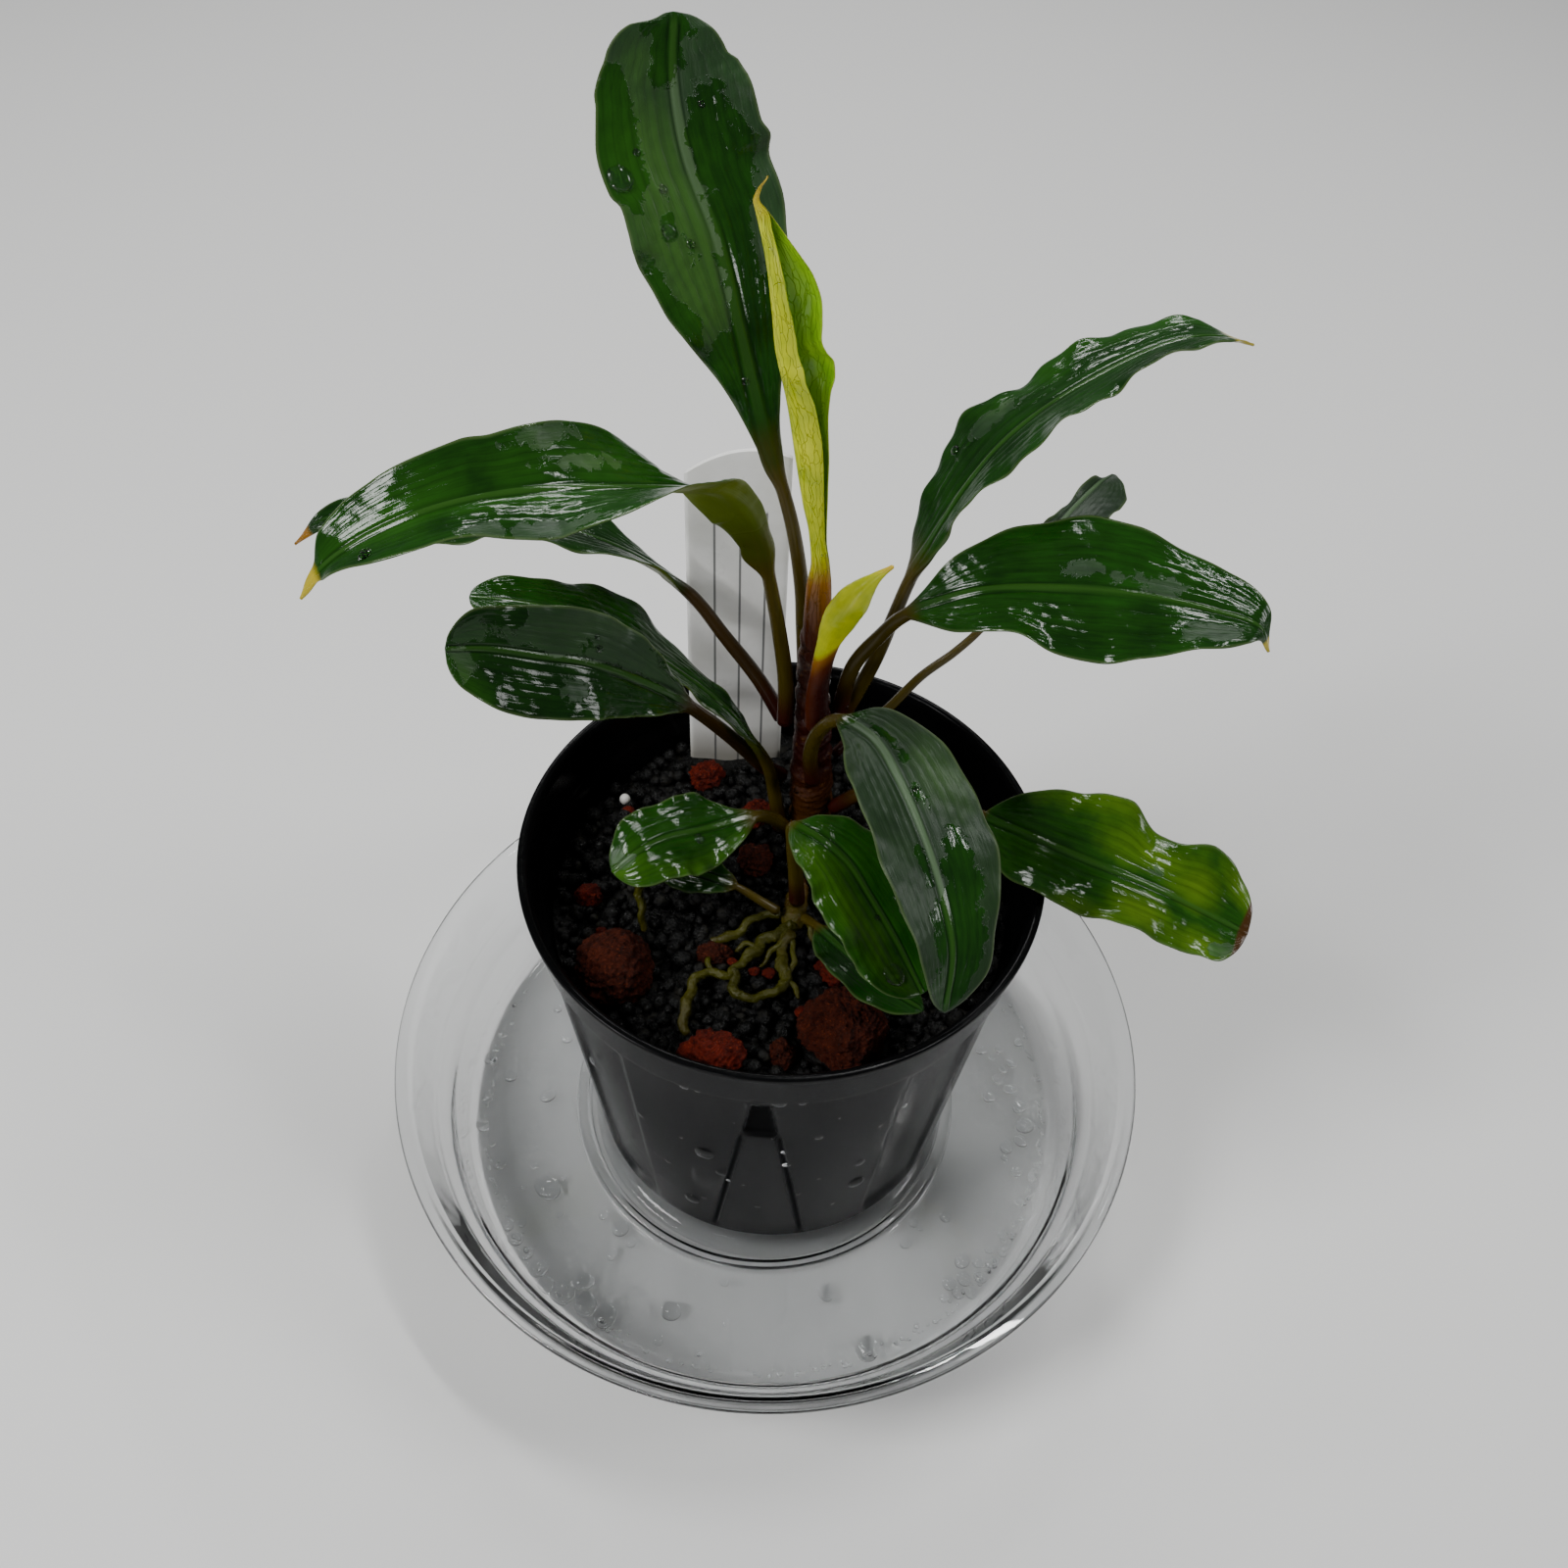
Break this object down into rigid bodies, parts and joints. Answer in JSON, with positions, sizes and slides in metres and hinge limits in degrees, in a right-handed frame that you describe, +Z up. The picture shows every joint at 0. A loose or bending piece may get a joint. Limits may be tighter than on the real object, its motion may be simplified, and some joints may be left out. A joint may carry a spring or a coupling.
{
  "type": "potted bucephalandra",
  "caption": "Bucephalandra with long wavy-edged leaves, grown on wet soil with lava stones in a small black nursery pot that stands in a clear round dish, with a blank plant label.",
  "frame": {"origin": "centre of the dish's underside", "axes": "+Z up; -Y is the side that the camera and the lowest front leaves face; +X to the camera's right"},
  "size_m": [0.1323, 0.1272, 0.1697],
  "materials": {
    "clear_plastic": "clear, glossy, wet inside",
    "black_plastic": "semi-gloss, with water drops",
    "soil": "wet black grains",
    "lava_stone": "rough, porous, red-brown",
    "red_stem": "wet, satin, dark red",
    "root": "wet, satin, yellow-olive",
    "leaf": "glossy where wet, dull grey-green where dry",
    "young_leaf": "satin, yellow-green",
    "label": "white, satin, blank"
  },
  "bodies": {
    "root": {"dish": "clear_plastic", "pot": "black_plastic", "soil": "soil", "lava_stone_big_left": "lava_stone", "lava_stone_big_right": "lava_stone", "lava_stone_front": "lava_stone", "lava_stone_small_front": "lava_stone", "lava_stone_middle": "lava_stone", "lava_stone_under_leaf": "lava_stone", "lava_stone_left": "lava_stone", "lava_stone_crown": "lava_stone", "lava_stone_back": "lava_stone", "lava_stone_label": "lava_stone", "rhizome": "red_stem", "side_shoot_rhizome": "root", "root_long": "root", "root_loop": "root", "root_short": "root", "root_left": "root", "leaf_tall": "leaf", "leaf_right_upper": "leaf", "leaf_right": "leaf", "leaf_right_back": "leaf", "leaf_left_arching": "leaf", "leaf_left_behind": "leaf", "leaf_left_mid": "leaf", "leaf_left_low": "leaf", "leaf_left_small": "leaf", "leaf_small_under": "leaf", "leaf_front": "leaf", "leaf_front_under": "leaf", "leaf_front_low": "leaf", "leaf_right_low": "leaf", "leaf_young": "young_leaf", "leaf_bud": "young_leaf", "plant_label": "label"}
  },
  "joints": []
}
